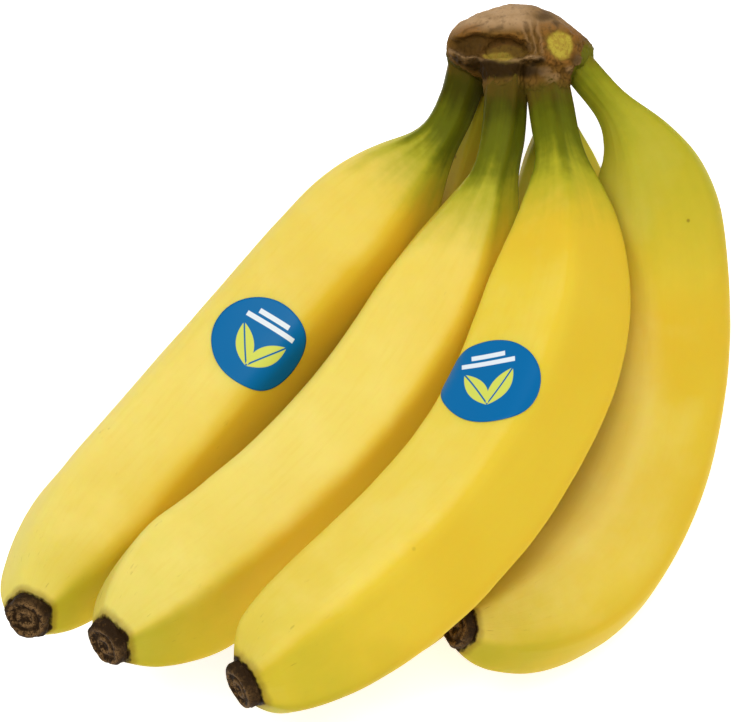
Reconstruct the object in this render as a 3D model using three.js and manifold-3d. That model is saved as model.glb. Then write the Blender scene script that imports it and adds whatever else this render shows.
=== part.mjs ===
// Bunch of bananas: six fruit in two rows, grown from one crown and lying on their backs.
// Millimetres, +Z up. The origin is under the middle of the bunch, on the surface it lies on.
//
// The bunch is drawn in a frame of its own: +X to the right along the front row, +Y up to the
// crown as the bunch would hang, +Z out of the front row. It is then tipped until it lies still,
// and each low point gets a small flat spot.

import * as THREE from "three";
import { mergeVertices } from "three/addons/utils/BufferGeometryUtils.js";
import Module from "manifold-3d";

const wasm = await Module();
wasm.setup();

const DEGREE = Math.PI / 180;
const GAP = 0.3; // between pieces that touch

// How the bunch lies: its crown is raised and its row rolled to the right, in degrees.
const LIE = { crownUp: 16.8, rollRight: 12.2 };
const FLAT_DEPTH = 0.6; // what the lowest point loses to its flat spot

// Fruit of the front row from left to right, then of the back row. Millimetres and degrees.
// swing is to the right of straight down, and lean towards the front. curl is the side that the
// body bends to: 0 is the front, 90 the left. late moves the bend towards the dry end. kink is
// where stalk and body meet. The lower onset is, the more sharply the shoulder starts. face turns
// the five-sided section, and faces is how far out each side is.
const FRUIT = [
  {
    name: "1",
    root: [27.9, 83, -4.7],
    stalk: { swing: -12.2, lean: -11.2 },
    body: { swing: -42.4, lean: -8.8 },
    curl: -4.6,
    turn: 68.8,
    late: 0.5,
    stalkLength: 34,
    bodyLength: 175.2,
    kink: 17.4,
    girth: 18.15,
    stalkGirth: 5.5,
    endGirth: 6.6,
    shoulder: 36.2,
    onset: 0.6,
    taper: 38.6,
    blunt: 1.4,
    face: 17.5,
    faces: [0.97, 1.05, 1.01, 0.99, 0.97],
  },
  {
    name: "2",
    root: [37.8, 77.2, 7.1],
    stalk: { swing: -4, lean: 16.6 },
    body: { swing: -18, lean: -17.6 },
    curl: 33.6,
    turn: 66.8,
    late: -0.77,
    stalkLength: 40,
    bodyLength: 162.6,
    kink: 22.6,
    girth: 18.2,
    stalkGirth: 5.5,
    endGirth: 6.7,
    shoulder: 49.6,
    onset: 0.6,
    taper: 26.4,
    blunt: 1.42,
    face: 58.5,
    faces: [1.1, 0.94, 0.91, 0.98, 1.08],
  },
  {
    name: "3",
    root: [48.6, 76.3, 6.3],
    stalk: { swing: 7.8, lean: 25 },
    body: { swing: 2.6, lean: 8.8 },
    curl: 68.2,
    turn: 64,
    late: -0.49,
    stalkLength: 38.4,
    bodyLength: 164.2,
    kink: 34.2,
    girth: 19.1,
    stalkGirth: 5.65,
    endGirth: 6.7,
    shoulder: 57,
    onset: 0.6,
    taper: 62,
    blunt: 2.28,
    face: 37,
    faces: [1.09, 0.93, 0.95, 0.97, 1.07],
  },
  {
    name: "4",
    root: [57.3, 81.1, 3],
    stalk: { swing: 38.4, lean: 16.2 },
    body: { swing: 14.6, lean: -16.8 },
    curl: 54,
    turn: 122.6,
    late: 0.78,
    stalkLength: 23.2,
    bodyLength: 178.4,
    kink: 30.2,
    girth: 18.4,
    stalkGirth: 4.5,
    endGirth: 5.8,
    shoulder: 36.4,
    onset: 0.86,
    taper: 48.4,
    blunt: 1.36,
    face: 77,
    faces: [1.08, 0.9, 0.92, 1.02, 1.08],
  },
  {
    name: "5",
    root: [35.8, 78.3, -12.1],
    stalk: { swing: -17, lean: -34 },
    body: { swing: -13.4, lean: -10 },
    curl: 63.6,
    turn: 73.6,
    late: 0,
    stalkLength: 41.6,
    bodyLength: 165,
    kink: 26,
    girth: 17.3,
    stalkGirth: 5.6,
    endGirth: 6.4,
    shoulder: 46.4,
    onset: 1,
    taper: 53.6,
    blunt: 1.2,
    face: -3,
    faces: [1.01, 1.01, 1, 0.96, 1.01],
  },
  {
    name: "6",
    root: [51.4, 78.9, -7.7],
    stalk: { swing: 2.8, lean: -22.6 },
    body: { swing: 9.6, lean: -8.2 },
    curl: 67.6,
    turn: 73,
    late: -0.17,
    stalkLength: 22.8,
    bodyLength: 167,
    kink: 34.2,
    girth: 17.7,
    stalkGirth: 3.7,
    endGirth: 6.5,
    shoulder: 46,
    onset: 0.6,
    taper: 38.4,
    blunt: 1.56,
    face: 27.5,
    faces: [0.9, 1.03, 1.03, 1.04, 1.01],
  },
];

const KINK_REACH = 16; // how far the kink reaches to each side
const SHOULDER_LEAD = 0.25; // share of the shoulder that comes before the body starts
const FACE_SOFTNESS = 6; // higher is a sharper edge between two faces
const FACE_TO_MEAN = 0.956; // middle of a face over the mean reach, at that softness

// Mesh of one fruit.
const SIDES = 20;
const RINGS = { stalk: 5, shoulder: 8, middle: 9, taper: 9 };

// Crown: sections square to +X, by place, top, bottom and half depth.
const CROWN_SECTIONS = [
  { x: 22, top: 88.5, bottom: 83, depth: 6 },
  { x: 24.5, top: 92, bottom: 80.5, depth: 9.5 },
  { x: 29, top: 94.5, bottom: 78, depth: 12.5 },
  { x: 35, top: 96.5, bottom: 76.5, depth: 14 },
  { x: 41, top: 97.5, bottom: 75.5, depth: 14.5 },
  { x: 48, top: 96, bottom: 74.5, depth: 14 },
  { x: 54, top: 92.5, bottom: 75, depth: 12 },
  { x: 59, top: 88.5, bottom: 78.5, depth: 8.5 },
  { x: 61.5, top: 86, bottom: 81, depth: 5 },
];
const CROWN_MIDDLE_Z = -0.5;
const CROWN_SIDES = 20;
const CROWN_SQUARENESS = 2.6; // power of the sections' superellipse
const STUB_REACH = 7; // how far the crown's skin runs down each stalk
const STUB_SINK = 7; // how far a stub starts above its stalk's root, inside the crown
const STUB_SPARE = 0.5; // a stub is this much thicker than its stalk

// Hollow cut into the crown's front, and the round scar beside it, which is cut from its floor's
// middle outwards.
const HOLLOW = { middle: [33.5, 85.5, 15], reach: [10, 2.8, 6], tilt: -4 };
const SCAR = { middle: [53, 86.5, 11], radius: 4.4, reach: 6, turn: 30 };

// Dry tip: profile as a share of the peel's end, and as millimetres beyond it.
const TIP_PROFILE = [
  [0, 0],
  [0.86, 0],
  [1.02, 1.1],
  [0.98, 2.6],
  [0.74, 3.6],
  [0.36, 2.9],
  [0, 2.7],
];
const TIP_SIDES = 12;

// Paper labels: the fruit, where their middle sits on it, and their half sizes.
const LABELS = [
  { on: "1", distance: 102, angle: 2, along: 14, around: 14 },
  { on: "3", distance: 99, angle: 326, along: 13.8, around: 13.4 },
];
const LABEL_LIFT = 0.6; // its back over the peel
const LABEL_THICKNESS = 0.4;
const LABEL_RINGS = 4;
const LABEL_SIDES = 24;

const PEEL = { color: 0xe3c43c, roughness: 0.45, metalness: 0 };
const DRY = { color: 0x3a2214, roughness: 0.9, metalness: 0 };
const CROWN_SKIN = { color: 0x7a5a3a, roughness: 0.85, metalness: 0 };
const PAPER = { color: 0x1573b0, roughness: 0.5, metalness: 0 };

function smoothStep(t) {
  const x = Math.min(1, Math.max(0, t));
  return x * x * (3 - 2 * x);
}

function mix(a, b, t) {
  return a + (b - a) * t;
}

function around(count) {
  return Array.from({ length: count }, (_, i) => (i * 2 * Math.PI) / count);
}

// Unit vector that points swing degrees right of straight down and lean degrees to the front.
function aim({ swing, lean }) {
  const level = Math.cos(lean * DEGREE);
  const right = Math.sin(swing * DEGREE) * level;
  const down = Math.cos(swing * DEGREE) * level;
  return new THREE.Vector3(right, -down, Math.sin(lean * DEGREE));
}

// The side that a body bends to, square to where it starts off.
function bendSide({ body, curl }) {
  const start = aim(body);
  const front = new THREE.Vector3(0, 0, 1).addScaledVector(start, -start.z).normalize();
  const left = new THREE.Vector3().crossVectors(start, front);
  return front.multiplyScalar(Math.cos(curl * DEGREE)).addScaledVector(left, Math.sin(curl * DEGREE));
}

// Heading of a fruit's middle line at a distance from its root. The stalk is straight and the
// body bends, and one passes into the other round the kink.
function headingAt(fruit, distance) {
  const t = Math.min(1, Math.max(0, (distance - fruit.stalkLength) / fruit.bodyLength));
  const turned = fruit.turn * DEGREE * (t + fruit.late * (t * t - t));
  const body = aim(fruit.body)
    .multiplyScalar(Math.cos(turned))
    .addScaledVector(bendSide(fruit), Math.sin(turned));
  const share = smoothStep((distance - fruit.kink + KINK_REACH) / (2 * KINK_REACH));
  return aim(fruit.stalk).lerp(body, share).normalize();
}

function lengthOf(fruit) {
  return fruit.stalkLength + fruit.bodyLength;
}

// A fruit's middle line, walked in steps of about a millimetre. It gives the place at a distance
// from the root with the directions along the fruit, to the inside of its bend, and to the side.
function middleLine(fruit) {
  const steps = Math.round(lengthOf(fruit));
  const step = lengthOf(fruit) / steps;
  const places = [new THREE.Vector3(...fruit.root)];
  for (let i = 0; i < steps; i += 1) {
    const heading = headingAt(fruit, (i + 0.5) * step);
    places.push(places[i].clone().addScaledVector(heading, step));
  }
  const across = new THREE.Vector3().crossVectors(aim(fruit.body), bendSide(fruit));
  return (distance) => {
    const i = Math.min(steps - 1, Math.max(0, Math.floor(distance / step)));
    const place = places[i].clone().lerp(places[i + 1], distance / step - i);
    const along = headingAt(fruit, distance);
    const inner = new THREE.Vector3().crossVectors(across, along).normalize();
    const side = new THREE.Vector3().crossVectors(along, inner);
    return { place, along, inner, side };
  };
}

// Half the width of a fruit at a distance from its root.
function girthAt(fruit, distance) {
  const start = fruit.stalkLength - SHOULDER_LEAD * fruit.shoulder;
  const along = Math.min(1, Math.max(0, (distance - start) / fruit.shoulder));
  const full = mix(fruit.stalkGirth, fruit.girth, smoothStep(along ** fruit.onset));
  const left = Math.min(1, (lengthOf(fruit) - distance) / fruit.taper);
  const closing = (1 - (1 - left) ** fruit.blunt) ** (1 / fruit.blunt);
  return full * mix(fruit.endGirth / fruit.girth, 1, closing);
}

// The section's reach at an angle from the inner side, as a share of the girth.
function faceReach(fruit, angle) {
  let sum = 0;
  for (const [i, turn] of around(fruit.faces.length).entries()) {
    const facing = Math.cos(angle - fruit.face * DEGREE - turn) / fruit.faces[i];
    sum += Math.max(0, facing) ** FACE_SOFTNESS;
  }
  return FACE_TO_MEAN * sum ** (-1 / FACE_SOFTNESS);
}

// Point of the peel at a distance from the root and an angle from the inner side, or lift above it.
function peelPoint(fruit, line, distance, angle, lift = 0) {
  const { place, inner, side } = line(distance);
  const reach = girthAt(fruit, distance) * faceReach(fruit, angle) + lift;
  const out = inner.multiplyScalar(Math.cos(angle)).addScaledVector(side, Math.sin(angle));
  return place.addScaledVector(out, reach);
}

// Closed skin over rings that have as many points each, with a fan over each end.
function skinOver(rings) {
  const count = rings[0].length;
  const middles = [rings[0], rings.at(-1)].map((ring) =>
    ring.reduce((sum, point) => sum.add(point), new THREE.Vector3()).divideScalar(count),
  );
  const points = [...rings.flat(), ...middles];
  const first = points.length - 2;
  const last = points.length - 1;
  const end = (rings.length - 1) * count;
  const index = [];
  for (let i = 0; i < count; i += 1) {
    const next = (i + 1) % count;
    for (let ring = 0; ring < end; ring += count) {
      index.push(ring + i, ring + next, ring + count + next);
      index.push(ring + i, ring + count + next, ring + count + i);
    }
    index.push(first, next, i);
    index.push(last, end + i, end + next);
  }
  return new THREE.BufferGeometry().setFromPoints(points).setIndex(index);
}

// Distances of the rings from where a fruit leaves the crown to where its dry tip starts.
function ringDistances(fruit) {
  const swellStart = fruit.stalkLength - SHOULDER_LEAD * fruit.shoulder;
  const taperStart = lengthOf(fruit) - fruit.taper;
  const stalkStart = STUB_REACH + GAP;
  const middleStart = Math.min(swellStart + fruit.shoulder, taperStart - 1);
  const even = (from, to, count) =>
    Array.from({ length: count }, (_, i) => mix(from, to, i / count));
  // The taper's rings crowd towards the end, where it rounds off.
  const crowded = Array.from({ length: RINGS.taper + 1 }, (_, i) =>
    mix(taperStart, lengthOf(fruit), Math.sin((i / RINGS.taper) * 0.5 * Math.PI)),
  );
  return [
    ...even(stalkStart, swellStart, RINGS.stalk),
    ...even(swellStart, middleStart, RINGS.shoulder),
    ...even(middleStart, taperStart, RINGS.middle),
    ...crowded,
  ];
}

function fruitGeometry(fruit) {
  const line = middleLine(fruit);
  const ringAt = (distance) => around(SIDES).map((angle) => peelPoint(fruit, line, distance, angle));
  return skinOver(ringDistances(fruit).map(ringAt));
}

// The dry tip: a short knob with a sunken middle, a gap beyond the end of the peel.
function tipGeometry(fruit) {
  const { place, along, inner, side } = middleLine(fruit)(lengthOf(fruit));
  const profile = TIP_PROFILE.map(
    ([share, beyond]) => new THREE.Vector2(share * fruit.endGirth, GAP + beyond),
  );
  const frame = new THREE.Matrix4().makeBasis(side, along, inner).setPosition(place);
  return new THREE.LatheGeometry(profile, TIP_SIDES).applyMatrix4(frame);
}

// A round label that follows the peel: rings from its middle out, on its face and its back.
function labelGeometry(label) {
  const fruit = FRUIT.find(({ name }) => name === label.on);
  const line = middleLine(fruit);
  const layer = (share, lift) =>
    around(LABEL_SIDES).map((turn) => {
      const distance = label.distance + share * label.along * Math.cos(turn);
      const swerve = (share * label.around * Math.sin(turn)) / fruit.girth;
      return peelPoint(fruit, line, distance, label.angle * DEGREE + swerve, lift);
    });
  const shares = Array.from({ length: LABEL_RINGS }, (_, i) => (i + 1) / LABEL_RINGS);
  const back = shares.map((share) => layer(share, LABEL_LIFT));
  const face = shares.map((share) => layer(share, LABEL_LIFT + LABEL_THICKNESS));
  return skinOver([...face, ...back.reverse()]);
}

function solidOf(geometry) {
  const bare = geometry.clone().deleteAttribute("normal").deleteAttribute("uv");
  const merged = mergeVertices(bare, 1e-4);
  return new wasm.Manifold(
    new wasm.Mesh({
      numProp: 3,
      vertProperties: merged.attributes.position.array,
      triVerts: new Uint32Array(merged.index.array),
    }),
  );
}

function geometryOf(solid) {
  const mesh = solid.getMesh();
  const geometry = new THREE.BufferGeometry();
  geometry.setAttribute("position", new THREE.BufferAttribute(mesh.vertProperties, 3));
  return geometry.setIndex(new THREE.BufferAttribute(mesh.triVerts, 1));
}

// The crown's body: superellipse sections strung along the row.
function crownBody() {
  const power = 2 / CROWN_SQUARENESS;
  const rounded = (value) => Math.sign(value) * Math.abs(value) ** power;
  const ringAt = ({ x, top, bottom, depth }) =>
    around(CROWN_SIDES).map((turn) => {
      const y = mix(bottom, top, 0.5 + 0.5 * rounded(Math.cos(turn)));
      return new THREE.Vector3(x, y, CROWN_MIDDLE_Z + depth * rounded(Math.sin(turn)));
    });
  return skinOver(CROWN_SECTIONS.map(ringAt));
}

// The crown's skin round the top of one stalk. It starts inside the crown's body.
function stubGeometry(fruit) {
  const line = middleLine(fruit);
  const ringAt = (distance) =>
    around(SIDES).map((angle) => {
      const spare = mix(STUB_SPARE, 0, Math.max(0, distance) / STUB_REACH);
      return peelPoint(fruit, line, distance, angle, spare);
    });
  return skinOver([-STUB_SINK, 0, 0.5 * STUB_REACH, STUB_REACH].map(ringAt));
}

function crownGeometry() {
  const hollow = new THREE.SphereGeometry(1, 16, 10)
    .scale(...HOLLOW.reach)
    .rotateZ(HOLLOW.tilt * DEGREE)
    .translate(...HOLLOW.middle);
  const scar = new THREE.CylinderGeometry(SCAR.radius, SCAR.radius, SCAR.reach, 14)
    .translate(0, 0.5 * SCAR.reach, 0)
    .rotateX(0.5 * Math.PI)
    .rotateY(SCAR.turn * DEGREE)
    .translate(...SCAR.middle);
  const whole = FRUIT.reduce(
    (solid, fruit) => solid.add(solidOf(stubGeometry(fruit))),
    solidOf(crownBody()),
  );
  return geometryOf(whole.subtract(solidOf(hollow)).subtract(solidOf(scar)));
}

// Every piece by name, in the frame of the bunch as it would hang.
function hangingPieces() {
  const pieces = [{ name: "crown", geometry: crownGeometry(), finish: CROWN_SKIN }];
  for (const fruit of FRUIT) {
    pieces.push({ name: `banana_${fruit.name}`, geometry: fruitGeometry(fruit), finish: PEEL });
    pieces.push({ name: `tip_${fruit.name}`, geometry: tipGeometry(fruit), finish: DRY });
  }
  for (const label of LABELS) {
    pieces.push({ name: `label_${label.on}`, geometry: labelGeometry(label), finish: PAPER });
  }
  return pieces;
}

// Tips the pieces to how the bunch lies and stands the middle of their box over the origin, with
// the surface at the flat spots' depth in them.
function layDown(pieces) {
  const box = new THREE.Box3();
  for (const { geometry } of pieces) {
    geometry.rotateY(LIE.rollRight * DEGREE).rotateX(LIE.crownUp * DEGREE);
    geometry.computeBoundingBox();
    box.union(geometry.boundingBox);
  }
  const middle = box.getCenter(new THREE.Vector3());
  for (const { geometry } of pieces) {
    geometry.translate(-middle.x, -middle.y, -box.min.z - FLAT_DEPTH);
  }
}

// Cuts off what would be under the surface.
function cutFlat(geometry) {
  geometry.computeBoundingBox();
  if (geometry.boundingBox.min.z > 0) return geometry;
  const under = new THREE.BoxGeometry(1000, 1000, 100).translate(0, 0, -50);
  return geometryOf(solidOf(geometry).subtract(solidOf(under)));
}

const pieces = hangingPieces();
layDown(pieces);
const group = new THREE.Group();
for (const { name, geometry, finish } of pieces) {
  const mesh = new THREE.Mesh(cutFlat(geometry), new THREE.MeshStandardMaterial(finish));
  mesh.geometry.computeVertexNormals();
  mesh.name = name;
  group.add(mesh);
}

export default group;
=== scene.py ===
"""Bunch of bananas: the looks of its peel, crown, dry tips and labels, and a plain studio.

It is laid out as a Blender add-on and run as a script. Sizes in the tables are millimetres and
angles are degrees. The bunch is drawn in a frame of its own, as it would hang: +X to the right
along the front row, +Y up to the crown, +Z out of the front row. It is then laid down.
"""

import math
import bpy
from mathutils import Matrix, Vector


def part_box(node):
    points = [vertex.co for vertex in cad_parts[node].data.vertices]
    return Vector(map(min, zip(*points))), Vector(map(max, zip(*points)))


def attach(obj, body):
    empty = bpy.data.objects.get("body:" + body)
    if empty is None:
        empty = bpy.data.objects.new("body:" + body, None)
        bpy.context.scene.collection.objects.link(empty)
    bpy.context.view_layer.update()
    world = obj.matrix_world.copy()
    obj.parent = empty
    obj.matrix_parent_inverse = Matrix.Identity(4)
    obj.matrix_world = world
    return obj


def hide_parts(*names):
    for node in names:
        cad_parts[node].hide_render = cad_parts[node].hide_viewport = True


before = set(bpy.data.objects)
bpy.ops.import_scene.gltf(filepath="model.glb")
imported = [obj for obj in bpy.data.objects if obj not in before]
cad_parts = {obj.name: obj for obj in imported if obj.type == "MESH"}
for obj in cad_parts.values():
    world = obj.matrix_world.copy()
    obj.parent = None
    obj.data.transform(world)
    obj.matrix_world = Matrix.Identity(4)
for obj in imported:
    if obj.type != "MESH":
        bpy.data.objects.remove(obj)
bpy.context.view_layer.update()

from types import SimpleNamespace

import bpy
import numpy as np
from bpy.props import FloatProperty, FloatVectorProperty, IntProperty, PointerProperty
from mathutils import Matrix, Vector, noise
from mathutils.bvhtree import BVHTree

bl_info = {
    "name": "Bunch of bananas",
    "version": (1, 0, 0),
    "blender": (4, 5, 0),
    "location": "3D View > Sidebar > Bananas",
    "description": "Grows the peel, crown, dry tips and labels of a bunch, and sets up a studio",
    "category": "Add Mesh",
}

MM = 0.001

# How the bunch lies: its crown raised and its row rolled to the right, in degrees, and then where
# the hanging frame's origin comes to. It is how the solids lie.
CROWN_UP = 16.8
ROLL_RIGHT = 12.2
LAID_ORIGIN = (-3.5649, 4.4488, 51.1152)
OUT_OF_PLACE = 1.5  # a tip that is further than this from its solid is a mistake

# Fruit of the front row from left to right, then of the back row. stalk and body are a swing to
# the right of straight down and a lean towards the front. curl is the side that the body bends
# to: 0 is the front, 90 the left. late moves the bend towards the dry end. kink is where stalk
# and body meet. The lower onset is, the more sharply the shoulder starts. face turns the
# five-sided section, and faces is how far out each side is. These shapes are the solids' own, and
# a least-squares fit found most of their numbers.
#
# The last row is the peel's. skin is how far the crown's skin runs down the stalk. green is how
# far the green runs down the fruit, and ripe takes green away. pale is how pale the yellow is,
# shade_brown how much brown is mixed into it as painted shade, most on the back fruit 5 and 6,
# and crisp how sharp the edges between the faces are.
FRUIT = [
    SimpleNamespace(
        name="1", root=(27.9, 83, -4.7), stalk=(-12.2, -11.2), body=(-42.4, -8.8),
        curl=-4.6, turn=68.8, late=0.5, stalk_length=34, body_length=175.2, kink=17.4,
        girth=18.15, stalk_girth=5.5, end_girth=6.6, shoulder=36.2, onset=0.6, taper=38.6, blunt=1.4,
        face=17.5, faces=(0.97, 1.05, 1.01, 0.99, 0.97),
        skin=-1.5, green=30, pale=0.8, ripe=-0.06, shade_brown=0, crisp=5.5,
    ),
    SimpleNamespace(
        name="2", root=(37.8, 77.2, 7.1), stalk=(-4, 16.6), body=(-18, -17.6),
        curl=33.6, turn=66.8, late=-0.77, stalk_length=40, body_length=162.6, kink=22.6,
        girth=18.2, stalk_girth=5.5, end_girth=6.7, shoulder=49.6, onset=0.6, taper=26.4, blunt=1.42,
        face=58.5, faces=(1.1, 0.94, 0.91, 0.98, 1.08),
        skin=4.2, green=35, pale=0.85, ripe=-0.02, shade_brown=0, crisp=9.0,
    ),
    SimpleNamespace(
        name="3", root=(48.6, 76.3, 6.3), stalk=(7.8, 25), body=(2.6, 8.8),
        curl=68.2, turn=64, late=-0.49, stalk_length=38.4, body_length=164.2, kink=34.2,
        girth=19.1, stalk_girth=5.65, end_girth=6.7, shoulder=57, onset=0.6, taper=62, blunt=2.28,
        face=37, faces=(1.09, 0.93, 0.95, 0.97, 1.07),
        skin=4.5, green=36, pale=-0.05, ripe=0.03, shade_brown=0, crisp=9.0,
    ),
    SimpleNamespace(
        name="4", root=(57.3, 81.1, 3), stalk=(38.4, 16.2), body=(14.6, -16.8),
        curl=54, turn=122.6, late=0.78, stalk_length=23.2, body_length=178.4, kink=30.2,
        girth=18.4, stalk_girth=4.5, end_girth=5.8, shoulder=36.4, onset=0.86, taper=48.4, blunt=1.36,
        face=77, faces=(1.08, 0.9, 0.92, 1.02, 1.08),
        skin=-1.2, green=95, pale=0.55, ripe=0.42, shade_brown=0.03, crisp=5.5,
    ),
    SimpleNamespace(
        name="5", root=(35.8, 78.3, -12.1), stalk=(-17, -34), body=(-13.4, -10),
        curl=63.6, turn=73.6, late=0, stalk_length=41.6, body_length=165, kink=26,
        girth=17.3, stalk_girth=5.6, end_girth=6.4, shoulder=46.4, onset=1, taper=53.6, blunt=1.2,
        face=-3, faces=(1.01, 1.01, 1, 0.96, 1.01),
        skin=3, green=90, pale=0.2, ripe=0.62, shade_brown=0.6, crisp=6.0,
    ),
    SimpleNamespace(
        name="6", root=(51.4, 78.9, -7.7), stalk=(2.8, -22.6), body=(9.6, -8.2),
        curl=67.6, turn=73, late=-0.17, stalk_length=22.8, body_length=167, kink=34.2,
        girth=17.7, stalk_girth=3.7, end_girth=6.5, shoulder=46, onset=0.6, taper=38.4, blunt=1.56,
        face=27.5, faces=(0.9, 1.03, 1.03, 1.04, 1.01),
        skin=3, green=40, pale=0.2, ripe=0.3, shade_brown=0.25, crisp=6.0,
    ),
]

KINK_REACH = 16  # how far the kink reaches to each side
SHOULDER_LEAD = 0.25  # share of the shoulder that comes before the body starts
SPARE_LINE = 12  # how far a middle line runs on past both of its ends
STALK_SINK = 1.5  # how far a stalk starts above its root, inside the crown
FULL_CREASE_RADIUS = 40  # a stalk that bends more tightly than this has its deepest creases
STALK_FADE = 0.8  # share of the shoulder that a stalk's grooves and creases fade out over

# Crown: sections square to +X, as place, top, bottom and half depth.
CROWN_SECTIONS = [
    (21.6, 87.4, 84.4, 3.5),
    (22.3, 89.0, 82.6, 6.5),
    (24.5, 92.0, 80.5, 9.5),
    (29.0, 94.5, 78.0, 12.5),
    (35.0, 96.5, 76.5, 14.0),
    (41.0, 97.5, 75.5, 14.5),
    (48.0, 96.0, 74.5, 14.0),
    (54.0, 92.5, 75.0, 12.0),
    (59.0, 88.5, 78.5, 8.5),
    (61.5, 86.0, 81.0, 5.0),
]
CROWN_MIDDLE_Z = -0.5
CROWN_SQUARENESS = 2.6
CROWN_SIDES = 64
CROWN_RINGS = 60

TIP_SHARE = 0.88  # of the peel's end that the dry tip takes up

# Dry tip: profile as a share of the peel's end, and as millimetres beyond it.
TIP_PROFILE = [
    (0.00, -0.6),
    (0.80, -0.6),
    (0.93, -0.2),
    (1.00, 0.5),
    (1.02, 1.4),
    (1.00, 2.4),
    (0.92, 3.2),
    (0.80, 3.5),
    (0.68, 3.2),
    (0.60, 2.7),
    (0.52, 2.6),
    (0.44, 3.1),
    (0.34, 3.3),
    (0.22, 2.9),
    (0.10, 2.6),
    (0.00, 2.6),
]

LABEL_RINGS = 26
LABEL_SIDES = 96

# Labels: the fruit, where their middle sits on it, their half sizes, and how far they are turned.
LABELS = [
    SimpleNamespace(on="1", distance=102, angle=2, along=14.0, around=14.0, turn=9),
    SimpleNamespace(on="3", distance=99, angle=326, along=13.8, around=13.4, turn=23),
]


def srgb(red, green, blue):
    """Linear colour of 0 to 255 screen values."""

    def linear(value):
        share = value / 255
        return share / 12.92 if share <= 0.04045 else ((share + 0.055) / 1.055) ** 2.4

    return (linear(red), linear(green), linear(blue), 1.0)


def colour(name, description, red, green, blue):
    return FloatVectorProperty(
        name=name,
        description=description,
        subtype="COLOR",
        size=4,
        min=0.0,
        max=1.0,
        default=srgb(red, green, blue),
    )


def size(name, description, millimetres):
    return FloatProperty(
        name=name,
        description=description,
        subtype="DISTANCE",
        unit="LENGTH",
        default=millimetres * MM,
    )


class BunchSizes(bpy.types.PropertyGroup):
    """Sizes of the bunch's fine shapes."""

    stations: IntProperty(
        name="Stations", description="Rings of points along one fruit", default=300, min=60
    )
    sides: IntProperty(
        name="Sides", description="Points round one fruit", default=128, min=24
    )
    crispness: FloatProperty(
        name="Crispness", description="Higher is a sharper edge between a fruit's faces", default=1.0
    )
    ridge_height: size("Ridge height", "How far the line along an edge stands out", 0.22)
    lump_height: size("Lump height", "How uneven the peel is", 0.4)
    lump_size: size("Lump size", "Size of the peel's soft lumps", 22)
    groove_depth: size("Groove depth", "Depth of the stalk's grooves", 0.2)
    wrinkle_height: size("Wrinkle height", "Height of the creases inside the kink", 0.35)
    crown_grain: size("Crown grain", "Size of the faces of the crown's mesh", 0.42)
    label_lift: size("Label lift", "Height of a label over the peel", 0.1)
    label_thickness: size("Label thickness", "Thickness of a label", 0.16)


class BunchColours(bpy.types.PropertyGroup):
    """Colours of the bunch."""

    yellow: colour("Yellow", "Ripe peel", 227, 199, 62)
    # Pale yellow is also painted light on the faces of the peel turned to the key light.
    pale_yellow: colour("Pale yellow", "Lightest peel", 236, 217, 117)
    # Deep yellow is also painted shade on the faces of the peel turned away from the key light.
    deep_yellow: colour("Deep yellow", "Warm patches of the peel", 221, 184, 47)
    lime: colour("Lime", "Peel between yellow and green", 166, 164, 36)
    green: colour("Green", "Stalk", 100, 104, 16)
    dark_green: colour("Dark green", "Stalk by the crown", 66, 64, 8)
    # Bruise is also painted shade, mixed into the whole peel of the back fruit.
    bruise_and_shade: colour("Bruise", "Scuffs and specks of the peel", 110, 72, 26)
    bark: colour("Bark", "Dried skin of the crown", 114, 81, 32)
    mauve: colour("Mauve", "Smooth dried skin on top of the crown", 184, 150, 110)
    # Rust is also the painted highlight on the crown's upper left.
    rust_and_highlight: colour("Rust", "Warm patches of the crown", 142, 94, 40)
    # Soot is also the painted shade in the crown's hollow and the painted shadow under its lip.
    soot_and_shade: colour("Soot", "Hollows and cracks", 32, 20, 4)
    flesh: colour("Flesh", "Cut flesh that hasn't dried", 182, 162, 58)
    tip: colour("Tip", "Dry tips", 44, 29, 13)
    # Tip fleck is partly a painted glint of the dry tips' glossy specks.
    tip_fleck_and_glint: colour("Tip fleck", "Light flecks of the dry tips", 122, 92, 56)
    label: colour("Label", "Label's ground", 0, 102, 160)
    label_leaf: colour("Label leaf", "Leaves on the label", 206, 212, 90)
    label_bar: colour("Label bar", "Bars on the label", 222, 230, 236)
    floor: colour("Floor", "Studio floor", 252, 252, 252)


# Nodes


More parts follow.
